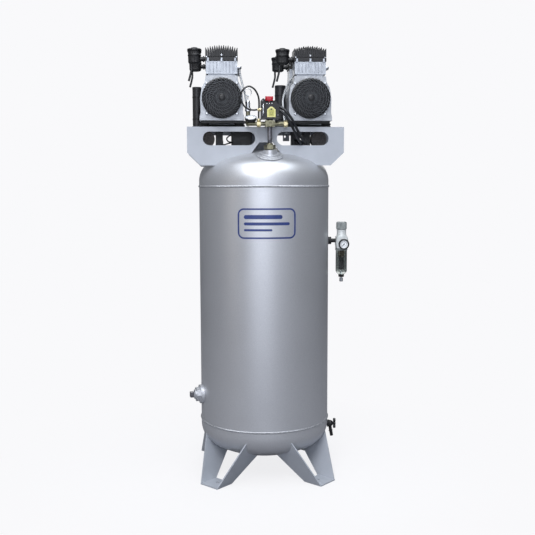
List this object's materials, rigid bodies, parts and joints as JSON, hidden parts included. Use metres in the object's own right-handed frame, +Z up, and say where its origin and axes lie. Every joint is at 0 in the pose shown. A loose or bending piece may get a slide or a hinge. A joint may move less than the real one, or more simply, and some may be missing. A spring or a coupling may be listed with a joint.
{
  "type": "air compressor",
  "caption": "Vertical workshop air compressor with two oil-free twin-cylinder pumps on a deck above an upright silver receiver on plate legs.",
  "frame": {"origin": "on the floor, on the axis of the receiver, at the middle of the four anchor bolt holes", "axes": "+Z up along the receiver's axis, -Y towards the front with the pressure switch, +X towards the side with the filter regulator"},
  "size_m": [0.6354, 0.5176, 1.6506],
  "materials": {
    "tank_paint": "satin metallic silver paint",
    "weld_steel": "weld metal and fittings under silver paint",
    "frame_paint": "light blue-grey satin powder coat",
    "brass": "turned brass",
    "zinc_steel": "zinc-plated steel, slightly dulled",
    "black_plastic": "moulded black plastic",
    "dark_plastic": "moulded dark grey plastic",
    "red_plastic": "moulded red plastic",
    "polished_steel": "bright plated metal",
    "gauge_case": "black enamelled gauge case",
    "needle_black": "black needle",
    "tube_black": "smooth black nylon tube",
    "hose_metal": "braided stainless steel sleeve",
    "cable_black": "black cable sheath",
    "rubber": "moulded rubber",
    "black_steel": "black painted steel",
    "core_steel": "laminated and turned steel",
    "cast_aluminium": "die-cast aluminium, fine matte skin",
    "bright_aluminium": "bright die-cast aluminium",
    "black_casting": "black coated cast aluminium",
    "fan_plastic": "black moulded nylon",
    "regulator_white": "light grey painted die casting",
    "regulator_grey": "grey ribbed plastic",
    "clear_bowl": "clear polycarbonate bowl"
  },
  "bodies": {
    "root": {"tank_shell": "tank_paint", "top_head": "tank_paint", "bottom_head": "tank_paint", "girth_welds": "weld_steel", "leg_front_left": "frame_paint", "leg_front_right": "frame_paint", "leg_rear_left": "frame_paint", "leg_rear_right": "frame_paint", "deck": "frame_paint", "port_boss": "weld_steel", "port_reducer": "brass", "riser_pipe": "zinc_steel", "manifold": "zinc_steel", "tube_fittings": "brass", "switch_base": "dark_plastic", "switch_cover": "black_plastic", "unloader_valve": "brass", "safety_valve": "polished_steel", "tank_gauge": "gauge_case", "loop_tube": "tube_black", "discharge_hoses": "hose_metal", "power_cables": "cable_black", "wiring_boxes": "dark_plastic", "silencers": "dark_plastic", "rubber_mounts": "rubber", "mount_rails": "black_steel", "mount_bolts": "zinc_steel", "capacitors": "dark_plastic", "bearings": "polished_steel", "stators": "core_steel", "guards": "fan_plastic", "crossovers": "zinc_steel", "filters": "black_plastic", "left_crankcases": "cast_aluminium", "left_cylinders": "bright_aluminium", "left_heads": "black_casting", "right_crankcases": "cast_aluminium", "right_cylinders": "bright_aluminium", "right_heads": "black_casting", "regulator_nipple": "zinc_steel", "regulator_body": "regulator_white", "regulator_gauge": "gauge_case", "regulator_bowl": "clear_bowl", "side_bung": "weld_steel", "drain_valve": "black_plastic"},
    "left_shaft": {"left_rotor": "core_steel", "left_fans": "fan_plastic"},
    "right_shaft": {"right_rotor": "core_steel", "right_fans": "fan_plastic"},
    "left_front_piston": {"left_piston_front": "bright_aluminium"},
    "left_rear_piston": {"left_piston_rear": "bright_aluminium"},
    "right_front_piston": {"right_piston_front": "bright_aluminium"},
    "right_rear_piston": {"right_piston_rear": "bright_aluminium"},
    "pressure_switch_knob": {"switch_knob": "red_plastic"},
    "relief_ring": {"safety_ring": "polished_steel"},
    "tank_needle": {"tank_gauge_needle": "needle_black"},
    "pressure_knob": {"regulator_knob": "regulator_grey"},
    "outlet_needle": {"regulator_needle": "needle_black"},
    "bowl_drain_button": {"bowl_drain": "polished_steel"},
    "drain_cock_handle": {"drain_handle": "black_plastic"}
  },
  "joints": [
    {"name": "left_shaft_spin", "type": "hinge", "parent": "root", "child": "left_shaft", "pos_m": [-0.165, 0, 1.45761], "axis": [0, 1, 0], "continuous": true},
    {"name": "right_shaft_spin", "type": "hinge", "parent": "root", "child": "right_shaft", "pos_m": [0.165, 0, 1.45761], "axis": [0, 1, 0], "continuous": true},
    {"name": "left_front_piston_stroke", "type": "slide", "parent": "root", "child": "left_front_piston", "axis": [0, 0, 1], "range_m": [-0.009, 0.009]},
    {"name": "left_rear_piston_stroke", "type": "slide", "parent": "root", "child": "left_rear_piston", "axis": [0, 0, 1], "range_m": [-0.009, 0.009]},
    {"name": "right_front_piston_stroke", "type": "slide", "parent": "root", "child": "right_front_piston", "axis": [0, 0, 1], "range_m": [-0.009, 0.009]},
    {"name": "right_rear_piston_stroke", "type": "slide", "parent": "root", "child": "right_rear_piston", "axis": [0, 0, 1], "range_m": [-0.009, 0.009]},
    {"name": "pressure_switch_knob_push", "type": "slide", "parent": "root", "child": "pressure_switch_knob", "axis": [0, 0, 1], "range_m": [-0.005, 0]},
    {"name": "relief_ring_pull", "type": "slide", "parent": "root", "child": "relief_ring", "axis": [0, 0, 1], "range_m": [0, 0.004], "stiffness_N_per_m": 600, "springref_m": -0.001},
    {"name": "tank_needle_turn", "type": "hinge", "parent": "root", "child": "tank_needle", "pos_m": [-0.06, -0.172, 1.36261], "axis": [0, 0.3987, -0.9171], "range_deg": [0, 270], "stiffness_Nm_per_rad": 0.0005},
    {"name": "pressure_knob_turn", "type": "hinge", "parent": "root", "child": "pressure_knob", "pos_m": [0.31, 0, 0.96], "axis": [0, 0, 1], "range_deg": [0, 720]},
    {"name": "outlet_needle_turn", "type": "hinge", "parent": "root", "child": "outlet_needle", "pos_m": [0.314, -0.042, 0.903], "axis": [0, 1, 0], "range_deg": [0, 270], "stiffness_Nm_per_rad": 0.0005},
    {"name": "bowl_drain_push", "type": "slide", "parent": "root", "child": "bowl_drain_button", "axis": [0, 0, 1], "range_m": [0, 0.003], "stiffness_N_per_m": 400, "springref_m": -0.002},
    {"name": "drain_cock_turn", "type": "hinge", "parent": "root", "child": "drain_cock_handle", "pos_m": [0.281, 0, 0.168], "axis": [1, 0, 0], "range_deg": [0, 90]}
  ],
  "couplings": [
    {"joint": "left_rear_piston_stroke", "follows": "left_front_piston_stroke", "ratio": -1},
    {"joint": "right_rear_piston_stroke", "follows": "right_front_piston_stroke", "ratio": -1}
  ]
}
